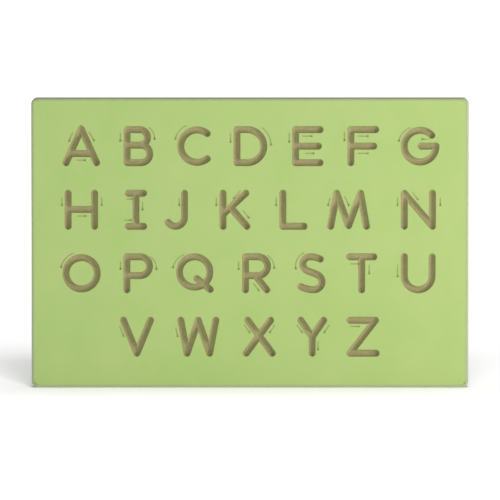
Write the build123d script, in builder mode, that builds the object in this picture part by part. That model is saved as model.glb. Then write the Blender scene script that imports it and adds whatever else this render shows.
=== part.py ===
from build123d import *
import math
import os

# A letter tracing board: three layers of fibreboard, green outside, with the capitals A to Z cut as
# grooves into the front. The cutter goes right through the front layer, down to the brown core.
# The board stands upright on its long lower edge. X runs along the lines of letters, Z goes up and the
# lettered front looks towards -Y. The origin is the middle of the lower edge, halfway through the board.

# Letters. Their heights and widths are those of the line that the cutter's middle follows, and the
# gaps are the uncut board between two letters or two lines of letters.
cap_height = 22.7
cutter_radius = 2.45
letter_gap = 15.6
line_gap = 16.1
side_margin = 20.741
top_margin = 19.15
bottom_margin = 21.25

# Panel. The grooves are as deep as the front sheet is thick.
core_thickness = 6.0
sheet_thickness = 3.0
band_thickness = 2.0
band_joint_gap = 0.3
band_joint_share = 0.25
corner_radius = 4.2
corner_relief = 0.7
arris_radius = 1.4

# The lines from the top down. Each is set a little to the right or left of the board's middle, so that
# A, H and O start, and G, N and U stand, nearly under one another. The shares are of the letter gap.
lines_of_letters = ["ABCDEFG", "HIJKLMN", "OPQRSTU", "VWXYZ"]
line_shift_shares = [0.042, 0.01, -0.048, -0.013]

# Width of each letter in shares of the capital height, and the gap before it in shares of the letter gap.
width_and_gap_shares = {
    "A": (0.92, 0), "B": (0.685, 1.03), "C": (0.8, 1.05), "D": (0.81, 0.99), "E": (0.74, 1.08),
    "F": (0.75, 1.04), "G": (0.96, 0.94), "H": (0.8, 0), "I": (0.46, 1.17), "J": (0.49, 0.77),
    "K": (0.72, 1.38), "L": (0.64, 1.27), "M": (1.08, 0.86), "N": (0.85, 1.35), "O": (0.95, 0),
    "P": (0.685, 0.99), "Q": (0.93, 1), "R": (0.665, 1.24), "S": (0.635, 1.16), "T": (0.73, 0.9),
    "U": (0.84, 1.03), "V": (0.82, 0), "W": (1.06, 1.02), "X": (0.79, 1.02), "Y": (0.69, 0.94),
    "Z": (0.79, 0.85),
}

# Straight strokes: both ends in shares of the capital height, and which of them the cutter leaves
# round. An end that runs into another stroke of the letter needs no rounding of its own.
straight_shares = {
    "A": [((0, 0), (0.46, 1.02), "both"), ((0.92, 0), (0.46, 1.02), "first"),
          ((0.124, 0.275), (0.796, 0.275), "none")],
    "B": [((0, 0), (0, 1), "both"), ((0, 1), (0.38, 1), "none"), ((0, 0.53), (0.42, 0.53), "none"),
          ((0, 0), (0.42, 0), "none")],
    "C": [],
    "D": [((0, 0), (0, 1), "both"), ((0, 1), (0.31, 1), "none"), ((0, 0), (0.31, 0), "none")],
    "E": [((0, 0), (0, 1), "both"), ((0.74, 1), (0, 1), "first"), ((0.69, 0.5), (0, 0.5), "first"),
          ((0.74, 0), (0, 0), "first")],
    "F": [((0, 0), (0, 1), "both"), ((0.75, 1), (0, 1), "first"), ((0.69, 0.5), (0, 0.5), "first")],
    "G": [((0.51, 0.5), (0.96, 0.5), "both")],
    "H": [((0, 0), (0, 1), "both"), ((0.8, 0), (0.8, 1), "both"), ((0, 0.51), (0.8, 0.51), "none")],
    "I": [((0, 1), (0.46, 1), "both"), ((0, 0), (0.46, 0), "both"), ((0.23, 0), (0.23, 1), "none")],
    "J": [((0.49, 1), (0.49, 0.27), "first")],
    "K": [((0, 0), (0, 1), "both"), ((0.69, 1), (0, 0.36), "first"), ((0.72, 0), (0.23, 0.573), "first")],
    "L": [((0, 0), (0, 1), "both"), ((0.64, 0), (0, 0), "first")],
    "M": [((0, 0), (0.18, 1), "both"), ((0.54, 0.02), (0.18, 1), "first"), ((0.9, 1), (0.54, 0.02), "first"),
          ((1.08, 0), (0.9, 1), "first")],
    "N": [((0, 0), (0, 1), "both"), ((0.85, 0), (0.85, 1), "both"), ((0, 1), (0.85, 0), "none")],
    "O": [],
    "P": [((0, 0), (0, 1), "both"), ((0, 1), (0.4, 1), "none"), ((0, 0.43), (0.4, 0.43), "none")],
    "Q": [((0.53, 0.34), (0.93, 0.01), "both")],
    "R": [((0, 0), (0, 1), "both"), ((0, 1), (0.38, 1), "none"), ((0, 0.43), (0.38, 0.43), "none"),
          ((0.64, 0), (0.3, 0.43), "first")],
    "T": [((0, 1), (0.73, 1), "both"), ((0.365, 0), (0.365, 1), "first")],
    "U": [((0, 1), (0, 0.42), "first"), ((0.84, 1), (0.84, 0.42), "first")],
    "V": [((0, 1), (0.41, 0), "both"), ((0.82, 1), (0.41, 0), "first")],
    "W": [((0, 1), (0.19, 0), "both"), ((0.53, 1), (0.19, 0), "first"), ((0.87, 0), (0.53, 1), "first"),
          ((1.06, 1), (0.87, 0), "first")],
    "X": [((0.05, 1), (0.79, 0), "both"), ((0.74, 1), (0, 0), "both")],
    "Y": [((0, 1), (0.345, 0.49), "both"), ((0.69, 1), (0.345, 0.49), "first"),
          ((0.345, 0), (0.345, 0.49), "first")],
    "Z": [((0, 1), (0.77, 1), "both"), ((0, 0), (0.77, 1), "first"), ((0.79, 0), (0, 0), "first")],
}

# Curved strokes: centre and radius in shares of the capital height, the angle where the curve starts
# and its turn in degrees, and which of its ends the cutter leaves round.
curve_shares = {
    "B": [((0.38, 0.765), 0.235, -90, 180, "none"), ((0.42, 0.265), 0.265, -90, 180, "none")],
    "C": [((0.49, 0.5), 0.49, 51, 258, "both")],
    "D": [((0.31, 0.5), 0.5, -90, 180, "none")],
    "G": [((0.48, 0.5), 0.48, 43, 317, "first")],
    "J": [((0.22, 0.27), 0.27, 215, 145, "first")],
    "O": [((0.475, 0.5), 0.475, 0, 180, "none"), ((0.475, 0.5), 0.475, 180, 180, "none")],
    "P": [((0.4, 0.715), 0.285, -90, 180, "none")],
    "Q": [((0.46, 0.54), 0.46, 0, 180, "none"), ((0.46, 0.54), 0.46, 180, 180, "none")],
    "R": [((0.38, 0.715), 0.285, -90, 180, "none")],
    "U": [((0.42, 0.42), 0.42, 180, 180, "none")],
}

# The S: centre and radius of its two bowls, in shares of the capital height. Its spine is a straight
# stroke that leans and touches both, and a flatter curve leads from each bowl to its open end.
upper_bowl_share, lower_bowl_share = (0.275, 0.78, 0.22), (0.395, 0.24, 0.24)
bowls_across = upper_bowl_share[0] - lower_bowl_share[0]
bowls_up = upper_bowl_share[1] - lower_bowl_share[1]
bowl_radii = upper_bowl_share[2] + lower_bowl_share[2]
touch = math.atan2(bowls_up, bowls_across) - math.acos(bowl_radii / math.hypot(bowls_across, bowls_up))
spine_top = (
    upper_bowl_share[0] - upper_bowl_share[2] * math.cos(touch),
    upper_bowl_share[1] - upper_bowl_share[2] * math.sin(touch),
)
spine_foot = (
    lower_bowl_share[0] + lower_bowl_share[2] * math.cos(touch),
    lower_bowl_share[1] + lower_bowl_share[2] * math.sin(touch),
)
straight_shares["S"] = [(spine_top, spine_foot, "none")]
curve_shares["S"] = [
    (upper_bowl_share[:2], upper_bowl_share[2], 90, 90 + math.degrees(touch), "none"),
    (lower_bowl_share[:2], lower_bowl_share[2], -90, 90 + math.degrees(touch), "none"),
    ((0.275, 0.27), 0.73, 65, 25, "first"), ((0.395, 0.87), 0.87, 243, 27, "first"),
]

# The board is as large as its letters and margins make it.
stroke_width = 2 * cutter_radius


def line_length(line):
    """How far a line of letters reaches from the left of its first stroke to the right of its last."""
    letters = sum(width_and_gap_shares[letter][0] * cap_height + stroke_width for letter in line)
    gaps = sum(width_and_gap_shares[letter][1] * letter_gap for letter in line)
    return letters + gaps


board_length = max(line_length(line) for line in lines_of_letters) + 2 * side_margin
line_pitch = cap_height + stroke_width + line_gap
board_height = bottom_margin + len(lines_of_letters) * line_pitch - line_gap + top_margin
board_thickness = core_thickness + 2 * sheet_thickness
panel_length = board_length - 2 * band_thickness
panel_height = board_height - 2 * band_thickness
panel_corner = corner_radius - band_thickness + corner_relief

core_front = Plane.XZ.offset(core_thickness / 2)
core_back = Plane.XZ.offset(-core_thickness / 2)
board_middle = (0, board_height / 2)

# A letter's place is the lower left of its strokes.
places = {}
for row, line in enumerate(lines_of_letters):
    left = line_shift_shares[row] * letter_gap + cutter_radius - line_length(line) / 2
    baseline = board_height - top_margin - cutter_radius - cap_height - row * line_pitch
    for letter in line:
        width_share, gap_share = width_and_gap_shares[letter]
        left += gap_share * letter_gap
        places[letter] = (left, baseline)
        left += width_share * cap_height + stroke_width


def on_board(letter, point):
    """Where a point of a letter, in shares of the capital height, lies on the face of the board."""
    return places[letter][0] + point[0] * cap_height, places[letter][1] + point[1] * cap_height


def straight_strokes(letter):
    """Place, direction and length of each straight stroke of a letter."""
    strokes = []
    for first, last, _ in straight_shares[letter]:
        start, end = on_board(letter, first), on_board(letter, last)
        slope = math.degrees(math.atan2(end[1] - start[1], end[0] - start[0]))
        strokes.append((Location((*start, 0), (0, 0, slope)), math.dist(start, end)))
    return strokes


def curved_strokes(letter):
    """Centre, radius, start angle and turn of each curved stroke of a letter."""
    return [
        (on_board(letter, centre), radius_share * cap_height, start, turn)
        for centre, radius_share, start, turn, _ in curve_shares.get(letter, [])
    ]


def round_ends(letter):
    """The points where the cutter goes in, comes out or turns a sharp corner."""
    points = []
    for first, last, ends in straight_shares[letter]:
        points += [on_board(letter, first)] if ends != "none" else []
        points += [on_board(letter, last)] if ends == "both" else []
    for centre, radius_share, start, turn, ends in curve_shares.get(letter, []):
        angles = {"none": [], "first": [start], "both": [start, start + turn]}[ends]
        for angle in angles:
            along, up = math.cos(math.radians(angle)), math.sin(math.radians(angle))
            points.append(on_board(letter, (centre[0] + radius_share * along, centre[1] + radius_share * up)))
    return points


def groove_outline(letter):
    """The outline that the cutter leaves when its middle has run along every stroke of a letter."""
    with BuildSketch() as outline:
        for place, length in straight_strokes(letter):
            with Locations(place):
                Rectangle(length, stroke_width, align=(Align.MIN, Align.CENTER))
        for centre, radius, start, turn in curved_strokes(letter):
            with BuildLine():
                outer = CenterArc(centre, radius + cutter_radius, start, turn)
                inner = CenterArc(centre, radius - cutter_radius, start, turn)
                Line(outer @ 0, inner @ 0)
                Line(outer @ 1, inner @ 1)
            make_face()
        for point in round_ends(letter):
            with Locations(point):
                Circle(cutter_radius)
    return outline.sketch


# Core: the plain middle layer. Its brown front is the floor of the grooves.
with BuildPart() as core_board:
    with BuildSketch(core_back):
        with Locations(board_middle):
            RectangleRounded(panel_length, panel_height, panel_corner)
    extrude(amount=core_thickness)
core_board.part.label = "core_board"

# Front layer as the cutter leaves it: one sheet, and the loose pieces inside the closed letters.
with BuildPart() as routed_layer:
    with BuildSketch(core_front):
        with Locations(board_middle):
            RectangleRounded(panel_length, panel_height, panel_corner)
        for letter in places:
            add(groove_outline(letter), mode=Mode.SUBTRACT)
    extrude(amount=sheet_thickness)
layer_pieces = routed_layer.part.solids().sort_by(SortBy.VOLUME)

with BuildPart() as front_face_sheet:
    add(layer_pieces[-1])
front_face_sheet.part.label = "front_face_sheet"


def counters(letter):
    """The pieces of the front layer that stay glued to the core inside a letter, lowest first."""
    left, baseline = places[letter]
    right = left + width_and_gap_shares[letter][0] * cap_height
    inside = [
        piece
        for piece in layer_pieces[:-1]
        if left < piece.center().X < right and baseline < piece.center().Z < baseline + cap_height
    ]
    return ShapeList(inside).sort_by(Axis.Z)


# Back layer: uncut and as thick as the front one, which keeps the panel flat.
with BuildPart() as back_face_sheet:
    with BuildSketch(core_back):
        with Locations(board_middle):
            RectangleRounded(panel_length, panel_height, panel_corner)
    extrude(amount=-sheet_thickness)
back_face_sheet.part.label = "back_face_sheet"

# Edge band: one strip wrapped round the panel, its ends butted on the lower edge, its arrises rounded.
with BuildPart() as edge_band:
    with BuildSketch(Plane.XZ):
        with Locations(board_middle):
            RectangleRounded(board_length, board_height, corner_radius)
            RectangleRounded(panel_length, panel_height, corner_radius - band_thickness, mode=Mode.SUBTRACT)
    extrude(amount=board_thickness / 2, both=True)
    faces_out = edge_band.faces().filter_by(Axis.Y).sort_by(Axis.Y)
    fillet(faces_out[0].outer_wire().edges() + faces_out[-1].outer_wire().edges(), arris_radius)
    with Locations((board_length * (band_joint_share - 1 / 2), 0, 0)):
        Box(band_joint_gap, board_thickness, 2 * band_thickness, mode=Mode.SUBTRACT)
edge_band.part.label = "edge_band"

os.makedirs("parts", exist_ok=True)
for piece in (core_board, front_face_sheet, back_face_sheet, edge_band):
    export_step(piece.part, f"parts/{piece.part.label}.step")

# The loose pieces of the front layer, each by its letter.
for name, letter, place in (
    ("counter_a", "A", 0),
    ("counter_b_lower", "B", 0),
    ("counter_b_upper", "B", 1),
    ("counter_d", "D", 0),
    ("counter_o", "O", 0),
    ("counter_p", "P", 0),
    ("counter_q", "Q", 0),
    ("counter_r", "R", 0),
):
    with BuildPart() as counter:
        add(counters(letter)[place])
    counter.part.label = name
    export_step(counter.part, f"parts/{name}.step")

print(f"board {board_length:.1f} x {board_height:.1f} x {board_thickness:.1f}")
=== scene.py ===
import bpy
import bmesh
import math
from mathutils import Matrix, Vector


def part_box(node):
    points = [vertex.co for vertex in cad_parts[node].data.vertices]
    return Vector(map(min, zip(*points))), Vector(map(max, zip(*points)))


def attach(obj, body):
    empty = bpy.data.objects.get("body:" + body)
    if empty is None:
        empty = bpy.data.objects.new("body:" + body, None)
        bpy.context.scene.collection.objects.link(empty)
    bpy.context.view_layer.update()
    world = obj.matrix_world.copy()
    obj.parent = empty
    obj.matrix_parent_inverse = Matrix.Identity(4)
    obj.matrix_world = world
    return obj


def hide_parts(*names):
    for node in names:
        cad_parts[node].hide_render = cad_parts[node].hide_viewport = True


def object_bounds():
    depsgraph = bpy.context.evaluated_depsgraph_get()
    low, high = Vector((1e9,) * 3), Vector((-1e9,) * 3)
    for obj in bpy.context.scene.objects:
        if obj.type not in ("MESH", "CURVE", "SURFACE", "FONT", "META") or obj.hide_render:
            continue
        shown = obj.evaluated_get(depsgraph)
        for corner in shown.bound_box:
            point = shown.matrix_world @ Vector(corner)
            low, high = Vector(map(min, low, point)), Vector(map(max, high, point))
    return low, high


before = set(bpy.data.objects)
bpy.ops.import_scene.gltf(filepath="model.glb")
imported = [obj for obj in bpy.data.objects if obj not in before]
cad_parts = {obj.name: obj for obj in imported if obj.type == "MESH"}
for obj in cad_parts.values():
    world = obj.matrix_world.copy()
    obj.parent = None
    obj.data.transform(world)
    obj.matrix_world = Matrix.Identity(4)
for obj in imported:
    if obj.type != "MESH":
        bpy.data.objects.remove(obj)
cad_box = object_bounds()

# Camera: well back from the front, as for a flat picture of it, and looking down on it a little. It
# aims just under the middle of the board, which so sits slightly above the middle of the picture.
board_height = cad_box[1][2] - cad_box[0][2]
front = cad_box[0][1]
below_middle = 0.0048
aim = Vector((0, front, board_height / 2 - below_middle))
look_down = math.radians(4)
stand_off = 5.0
seen_width = 0.3431
camera = bpy.data.objects.new("camera", bpy.data.cameras.new("camera"))
camera.data.sensor_width = 36
camera.data.lens = camera.data.sensor_width * stand_off / seen_width
camera.data.clip_end = 100
camera.location = aim + stand_off * Vector((0, -math.cos(look_down), math.sin(look_down)))
camera.rotation_euler = (math.radians(90) - look_down, 0, 0)
bpy.context.scene.collection.objects.link(camera)
bpy.context.scene.camera = camera

# Floor: a wide white studio sweep, with the soft shadow that the board throws back and to the left
# and the darker line where it stands. A glow that only the camera and reflections see grows with
# the distance from the board and keeps the rest of the sweep white.
sweep_reach = 20
glow_starts, glow_full, glow_strength = 0.18, 1.6, 0.75
sweep = bmesh.new()
bmesh.ops.create_grid(sweep, x_segments=2, y_segments=2, size=sweep_reach)
floor_mesh = bpy.data.meshes.new("floor")
sweep.to_mesh(floor_mesh)
sweep.free()
floor = bpy.data.objects.new("floor", floor_mesh)
bpy.context.scene.collection.objects.link(floor)

paper = bpy.data.materials.new("white studio paper")
paper.use_nodes = True
nodes, links = paper.node_tree.nodes, paper.node_tree.links
nodes.clear()
surface = nodes.new("ShaderNodeBsdfDiffuse")
surface.inputs["Color"].default_value = (0.82, 0.82, 0.82, 1)
ray = nodes.new("ShaderNodeLightPath")
seen = nodes.new("ShaderNodeMath")
seen.operation = "MAXIMUM"
links.new(ray.outputs["Is Camera Ray"], seen.inputs[0])
links.new(ray.outputs["Is Glossy Ray"], seen.inputs[1])
place = nodes.new("ShaderNodeTexCoord")
away = nodes.new("ShaderNodeVectorMath")
away.operation = "LENGTH"
links.new(place.outputs["Object"], away.inputs[0])
far = nodes.new("ShaderNodeMapRange")
far.inputs["From Min"].default_value = glow_starts
far.inputs["From Max"].default_value = glow_full
far.inputs["To Max"].default_value = glow_strength
links.new(away.outputs["Value"], far.inputs["Value"])
lift = nodes.new("ShaderNodeMath")
lift.operation = "MULTIPLY"
links.new(seen.outputs[0], lift.inputs[0])
links.new(far.outputs["Result"], lift.inputs[1])
glow = nodes.new("ShaderNodeEmission")
links.new(lift.outputs[0], glow.inputs["Strength"])
paper_and_glow = nodes.new("ShaderNodeAddShader")
links.new(surface.outputs[0], paper_and_glow.inputs[0])
links.new(glow.outputs[0], paper_and_glow.inputs[1])
output = nodes.new("ShaderNodeOutputMaterial")
links.new(paper_and_glow.outputs[0], output.inputs["Surface"])
floor_mesh.materials.append(paper)

# Light: a soft lamp low at the front right shades the grooves. Two more reach the floor alone, so
# the white floor lights the grooves from below, and the board's shadow lies on it at the back and
# left. An even pale room is all round, and it is white where the camera sees it.
lamps_aim = Vector((0, 0, 0.1))
room_strength = 0.45
only_floor = bpy.data.collections.new("only_floor")
only_floor.objects.link(floor)
for name, size, energy, colour, spot, reach in (
    ("key", 0.4, 14, (1, 0.83, 0.9), (1.1, -0.85, 0.06), None),
    ("floor_front", 0.8, 44, (1, 1, 1), (0.2, -1.9, 1.55), only_floor),
    ("floor_top", 1, 8, (1, 1, 1), (0.1, 0.15, 1.5), only_floor),
):
    lamp = bpy.data.objects.new(name, bpy.data.lights.new(name, "AREA"))
    lamp.data.shape = "DISK"
    lamp.data.size = size
    lamp.data.energy = energy
    lamp.data.color = colour
    lamp.location = spot
    lamp.rotation_euler = (lamps_aim - lamp.location).to_track_quat("-Z", "Y").to_euler()
    bpy.context.scene.collection.objects.link(lamp)
    if reach:
        lamp.light_linking.receiver_collection = reach

room = bpy.data.worlds.new("room")
room.use_nodes = True
nodes, links = room.node_tree.nodes, room.node_tree.links
nodes.clear()
ray = nodes.new("ShaderNodeLightPath")
choose = nodes.new("ShaderNodeMixShader")
links.new(ray.outputs["Is Camera Ray"], choose.inputs["Fac"])
for socket, strength in ((1, room_strength), (2, 1)):
    background = nodes.new("ShaderNodeBackground")
    background.inputs["Color"].default_value = (1, 1, 1, 1)
    background.inputs["Strength"].default_value = strength
    links.new(background.outputs[0], choose.inputs[socket])
output = nodes.new("ShaderNodeOutputWorld")
links.new(choose.outputs[0], output.inputs["Surface"])
bpy.context.scene.world = room
bpy.context.scene.view_settings.view_transform = "Standard"


# Core: the middle layer of brown fibreboard, pressed from fine wood fibre. The floor of every
# groove is its face, so it is drab and felt-like, with short darker fibres in it.
def noise(tree, scale, detail, roughness=0.5):
    """A noise over a piece, so many of its waves to the metre."""
    place = tree.nodes.new("ShaderNodeTexCoord")
    pattern = tree.nodes.new("ShaderNodeTexNoise")
    pattern.inputs["Scale"].default_value = scale
    pattern.inputs["Detail"].default_value = detail
    pattern.inputs["Roughness"].default_value = roughness
    tree.links.new(place.outputs["Object"], pattern.inputs["Vector"])
    return pattern.outputs["Fac"]


def with_share(tree, base, share, extra):
    """A value with a share of another added."""
    total = tree.nodes.new("ShaderNodeMath")
    total.operation = "MULTIPLY_ADD"
    total.inputs[1].default_value = share
    tree.links.new(extra, total.inputs[0])
    tree.links.new(base, total.inputs[2])
    return total.outputs[0]


def colours(tree, value, *stops):
    """The colours that a value runs through, from a dark stop to a light one."""
    ramp = tree.nodes.new("ShaderNodeValToRGB")
    for element, (position, colour) in zip(ramp.color_ramp.elements, stops):
        element.position = position
        element.color = (*colour, 1)
    tree.links.new(value, ramp.inputs["Fac"])
    return ramp.outputs["Color"]


def roughen(tree, height, strength, distance):
    """A fine relief on the surface, as deep as the distance in metres."""
    relief = tree.nodes.new("ShaderNodeBump")
    relief.inputs["Strength"].default_value = strength
    relief.inputs["Distance"].default_value = distance
    tree.links.new(height, relief.inputs["Height"])
    tree.links.new(relief.outputs["Normal"], tree.nodes["Principled BSDF"].inputs["Normal"])


fibreboard = bpy.data.materials.new("raw fibreboard")
fibreboard.use_nodes = True
tree = fibreboard.node_tree
shader = tree.nodes["Principled BSDF"]
shader.inputs["Roughness"].default_value = 0.9
shader.inputs["Specular IOR Level"].default_value = 0.2
fibres = noise(tree, 1400, 4, roughness=0.65)
tones = with_share(tree, fibres, 0.45, noise(tree, 90, 2))
browns = colours(tree, tones, (0.45, (0.25, 0.27, 0.112)), (1, (0.49, 0.43, 0.23)))
tree.links.new(browns, shader.inputs["Base Color"])
roughen(tree, fibres, 0.5, 0.0001)
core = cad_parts["core_board"]
core.data.materials.clear()
core.data.materials.append(fibreboard)

# Face sheets: fibreboard with a satin green skin pressed onto its outer face. Where the cutter has
# gone through the skin, the brown edge shows, so the skin is only the outermost part of the sheet.
skin_thickness, skin_blur = 0.00024, 0.00008
cut_roughness, skin_roughness = 0.9, 0.48
skinned = bpy.data.materials.new("green faced fibreboard")
skinned.use_nodes = True
tree = skinned.node_tree
shader = tree.nodes["Principled BSDF"]
grain = noise(tree, 900, 3)
tones = with_share(tree, noise(tree, 28, 3), 0.35, grain)
greens = colours(tree, tones, (0.4, (0.386, 0.58, 0.166)), (0.95, (0.44, 0.602, 0.194)))
browns = colours(tree, noise(tree, 1400, 4), (0.3, (0.28, 0.29, 0.12)), (0.75, (0.48, 0.44, 0.215)))
place = tree.nodes.new("ShaderNodeTexCoord")
split = tree.nodes.new("ShaderNodeSeparateXYZ")
tree.links.new(place.outputs["Object"], split.inputs[0])
off_middle = tree.nodes.new("ShaderNodeMath")
off_middle.operation = "ABSOLUTE"
tree.links.new(split.outputs["Y"], off_middle.inputs[0])
skin = tree.nodes.new("ShaderNodeMapRange")
skin.inputs["From Min"].default_value = abs(front) - skin_thickness - skin_blur
skin.inputs["From Max"].default_value = abs(front) - skin_thickness
tree.links.new(off_middle.outputs[0], skin.inputs["Value"])
colour = tree.nodes.new("ShaderNodeMix")
colour.data_type = "RGBA"
tree.links.new(skin.outputs["Result"], colour.inputs["Factor"])
tree.links.new(browns, colour.inputs["A"])
tree.links.new(greens, colour.inputs["B"])
tree.links.new(colour.outputs["Result"], shader.inputs["Base Color"])
sheen = tree.nodes.new("ShaderNodeMapRange")
sheen.inputs["To Min"].default_value = cut_roughness
sheen.inputs["To Max"].default_value = skin_roughness
tree.links.new(skin.outputs["Result"], sheen.inputs["Value"])
tree.links.new(sheen.outputs["Result"], shader.inputs["Roughness"])
roughen(tree, grain, 0.25, 0.00005)
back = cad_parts["back_face_sheet"]
back.data.materials.clear()
back.data.materials.append(skinned)

# Front layer: the sheet with its letters, and the eight pieces left standing inside closed letters.
# The cutter has a round nose, so the flanks of a groove lean in from the face and curve in more and
# more, down to a narrow strip of the core.
flank_width = 0.0021
lean = math.radians(25)
rows = 7
sheet_rim, no_rim = 0.004, -1
same_way, same_plane, soft_edge = 0.01, math.radians(1), math.radians(35)
groove_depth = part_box("core_board")[0].y - front


def routed(node, name, rim):
    """A piece of the front layer with curved flanks. Its outermost rim is left as it is."""
    low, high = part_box(node)

    def cut(point):
        inset = min(point.x - low.x, high.x - point.x, point.z - low.z, high.z - point.z)
        return inset >= rim

    def upright(face):
        return abs(face.normal.y) < 0.5

    def thick(edge):
        return abs(edge.verts[0].co.y - edge.verts[1].co.y) > 0.9 * groove_depth

    shape = bmesh.new()
    shape.from_mesh(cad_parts[node].data)
    bmesh.ops.remove_doubles(shape, verts=shape.verts[:], dist=1e-6)
    bmesh.ops.join_triangles(
        shape,
        faces=[face for face in shape.faces if upright(face)],
        angle_face_threshold=same_plane,
        angle_shape_threshold=math.radians(180),
    )
    behind = [face for face in shape.faces if face.normal.y > 0.5]
    bmesh.ops.delete(shape, geom=behind, context="FACES_ONLY")
    through = [edge for edge in shape.edges if thick(edge) and cut(edge.verts[0].co)]
    bmesh.ops.subdivide_edges(shape, edges=through, cuts=rows - 1, use_grid_fill=True)
    moves = []
    for vert in shape.verts:
        depth = vert.co.y - front
        if depth > 1e-5 and cut(vert.co):
            sides = []
            for face in vert.link_faces:
                side = Vector((face.normal.x, 0, face.normal.z))
                if upright(face) and all(side.angle(other) > same_way for other in sides):
                    sides.append(side.normalized())
            inward = sides[0]
            if len(sides) > 1:
                inward = (sides[0] + sides[1]) / (1 + sides[0].dot(sides[1]))
            angle = lean + (math.radians(90) - lean) * depth / groove_depth
            sunk = groove_depth * (math.sin(angle) - math.sin(lean)) / (1 - math.sin(lean))
            across = flank_width * (1 - math.cos(angle) / math.cos(lean))
            moves.append((vert, inward * across + Vector((0, sunk - depth, 0))))
    for vert, move in moves:
        vert.co += move
    rims = [edge for edge in shape.edges if edge.is_boundary]
    bmesh.ops.triangle_fill(shape, use_beauty=True, use_dissolve=False, edges=rims)
    bmesh.ops.recalc_face_normals(shape, faces=shape.faces[:])
    for face in shape.faces:
        face.smooth = True
    for edge in shape.edges:
        edge.smooth = edge.calc_face_angle(0) < soft_edge
    mesh = bpy.data.meshes.new(name)
    shape.to_mesh(mesh)
    shape.free()
    mesh.materials.append(skinned)
    piece = bpy.data.objects.new(name, mesh)
    bpy.context.scene.collection.objects.link(piece)
    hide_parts(node)
    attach(piece, "root")


routed("front_face_sheet", "routed_front_sheet", sheet_rim)
for letter in ("a", "b_lower", "b_upper", "d", "o", "p", "q", "r"):
    routed("counter_" + letter, "routed_counter_" + letter, no_rim)

# Edge band: a strip of green plastic glued round the panel and rounded over on both arrises. It is
# a little greyer than the faces, and finely grained.
edging = bpy.data.materials.new("green edge band")
edging.use_nodes = True
tree = edging.node_tree
shader = tree.nodes["Principled BSDF"]
shader.inputs["Roughness"].default_value = 0.5
grain = noise(tree, 500, 3)
greens = colours(tree, grain, (0.3, (0.36, 0.46, 0.22)), (0.7, (0.4, 0.5, 0.25)))
tree.links.new(greens, shader.inputs["Base Color"])
roughen(tree, grain, 0.3, 0.00005)
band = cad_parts["edge_band"]
band.data.materials.clear()
band.data.materials.append(edging)

# Stroke arrows: small marks burnt through the green skin beside the grooves, which show where a
# stroke starts and which way it goes. Each is a line of even width with a solid head.
# Tail and head in millimetres across and up, and how far the arrow turns anticlockwise, in degrees.
stroke_arrows = {
    "A": [
        (-121.3, 175.9, -124.0, 169.7, 0), (-110.4, 175.9, -107.0, 170.1, 0),
        (-118.9, 156.4, -113.1, 156.4, 0),
    ],
    "B": [(-88.9, 175.2, -88.9, 169.7, 0), (-69.5, 178.9, -65.4, 171.1, -60)],
    "C": [(-43.2, 180.3, -51.1, 171.1, 60)],
    "D": [(-13.4, 175.2, -13.4, 169.0, 0), (8.1, 178.9, 14.5, 167.0, -50)],
    "E": [
        (26.9, 175.2, 26.9, 169.0, 0), (35.7, 173.0, 42.2, 173.0, 0), (37.8, 161.2, 43.6, 161.2, 0),
    ],
    "F": [
        (64.7, 175.9, 64.7, 170.1, 0), (73.9, 173.0, 80.7, 173.0, 0), (73.9, 161.2, 80.7, 161.2, 0),
    ],
    "G": [(109.9, 178.9, 102.1, 169.7, 60), (122.9, 170.9, 118.1, 170.9, 0)],
    "H": [
        (-129.0, 130.6, -129.0, 125.5, 0), (-101.7, 130.9, -101.7, 125.5, 0),
        (-118.4, 118.1, -112.7, 118.1, 0),
    ],
    "I": [
        (-73.7, 127.9, -73.7, 122.4, 0), (-84.9, 129.8, -80.8, 129.8, 0),
        (-86.3, 115.3, -81.8, 115.3, 0),
    ],
    "J": [(-48.5, 130.6, -48.5, 125.5, 0)],
    "K": [
        (-23.1, 130.6, -23.1, 125.5, 0), (-6.4, 135.7, -11.1, 130.3, 0),
        (-5.0, 122.1, -0.9, 117.0, 0),
    ],
    "L": [(18.0, 130.9, 18.0, 125.5, 0)],
    "M": [(54.8, 130.6, 53.6, 125.5, 0), (65.0, 131.6, 67.7, 125.5, 0)],
    "N": [
        (101.2, 130.6, 101.2, 125.5, 0), (111.4, 134.3, 115.1, 129.6, 0),
        (130.5, 130.6, 130.5, 125.5, 0),
    ],
    "O": [(-121.0, 92.6, -129.6, 83.0, 60)],
    "P": [(-88.9, 86.8, -88.9, 81.6, 0), (-68.4, 90.2, -64.3, 81.6, -60)],
    "Q": [(-45.3, 91.5, -52.8, 82.7, 60)],
    "R": [(-7.8, 86.8, -7.8, 81.6, 0), (11.8, 91.2, 16.6, 82.3, -60), (2.3, 71.8, 6.0, 67.0, 0)],
    "S": [(37.3, 92.9, 31.5, 82.0, 80)],
    "T": [(68.9, 85.2, 74.7, 85.2, 0), (81.8, 84.4, 81.8, 78.6, 0)],
    "U": [(101.4, 84.7, 101.4, 76.5, 0)],
    "V": [(-89.6, 42.5, -86.8, 35.7, 0)],
    "W": [(-50.9, 41.2, -49.7, 35.4, 0)],
    "X": [(-4.0, 43.2, -0.2, 38.1, 0), (17.2, 43.2, 13.7, 38.1, 0)],
    "Y": [(32.0, 43.2, 35.8, 38.1, 0), (54.5, 43.2, 51.1, 38.1, 0), (46.7, 31.9, 46.7, 26.2, 0)],
    "Z": [(68.8, 42.2, 74.6, 42.2, 0)],
}
line_width = 0.0008
head_radius = 0.0012
mark_height = 0.00003
steps_of_turn = 8
faces_front = Matrix.Rotation(math.radians(90), 4, "X") @ Matrix.Rotation(math.radians(90), 4, "Z")
marks = bmesh.new()
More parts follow.
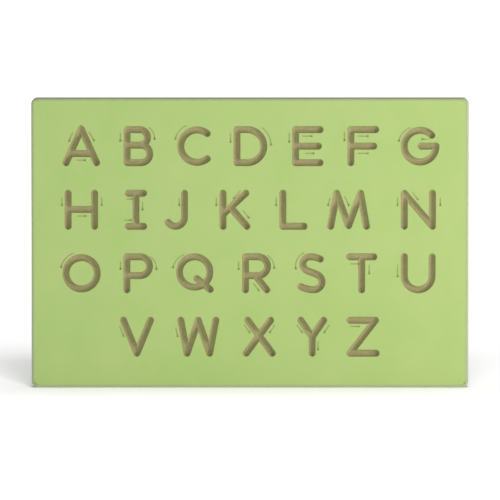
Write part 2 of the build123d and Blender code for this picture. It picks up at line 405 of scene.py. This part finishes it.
for arrows in stroke_arrows.values():
    for tail_x, tail_z, head_x, head_z, turn in arrows:
        tail = Vector((tail_x, 0, tail_z)) / 1000
        head = Vector((head_x, 0, head_z)) / 1000
        chord = head - tail
        turn = math.radians(turn)
        course = math.atan2(chord.z, chord.x)
        left = Vector((-math.sin(course - turn / 2), 0, math.cos(course - turn / 2)))
        start = [marks.verts.new(tail + left * side * line_width / 2) for side in (1, -1)]
        edge = marks.edges.new(start)
        if turn:
            centre = tail + left * chord.length / (2 * math.sin(turn / 2))
            bmesh.ops.spin(
                marks, geom=start + [edge], cent=centre,
                axis=(0, -1, 0), angle=turn, steps=steps_of_turn,
            )
        else:
            line = bmesh.ops.extrude_edge_only(marks, edges=[edge])
            ends = [item for item in line["geom"] if isinstance(item, bmesh.types.BMVert)]
            bmesh.ops.translate(marks, verts=ends, vec=chord)
        pointing = Matrix.Rotation(-course - turn / 2, 4, "Y")
        bmesh.ops.create_circle(
            marks, cap_ends=True, radius=head_radius, segments=3,
            matrix=Matrix.Translation(head) @ pointing @ faces_front,
        )
raised = bmesh.ops.extrude_face_region(marks, geom=marks.faces[:])
tops = [item for item in raised["geom"] if isinstance(item, bmesh.types.BMVert)]
bmesh.ops.translate(marks, verts=tops, vec=(0, -2 * mark_height, 0))
bmesh.ops.translate(marks, verts=marks.verts[:], vec=(0, front + mark_height, 0))
bmesh.ops.recalc_face_normals(marks, faces=marks.faces[:])
mark_mesh = bpy.data.meshes.new("stroke_arrows")
marks.to_mesh(mark_mesh)
marks.free()
arrows = bpy.data.objects.new("stroke_arrows", mark_mesh)
bpy.context.scene.collection.objects.link(arrows)

burnt = bpy.data.materials.new("burnt mark")
burnt.use_nodes = True
tree = burnt.node_tree
shader = tree.nodes["Principled BSDF"]
shader.inputs["Roughness"].default_value = 0.8
tones = colours(tree, noise(tree, 700, 2), (0, (0.25, 0.27, 0.09)), (1, (0.38, 0.43, 0.15)))
tree.links.new(tones, shader.inputs["Base Color"])
mark_mesh.materials.append(burnt)
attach(arrows, "root")
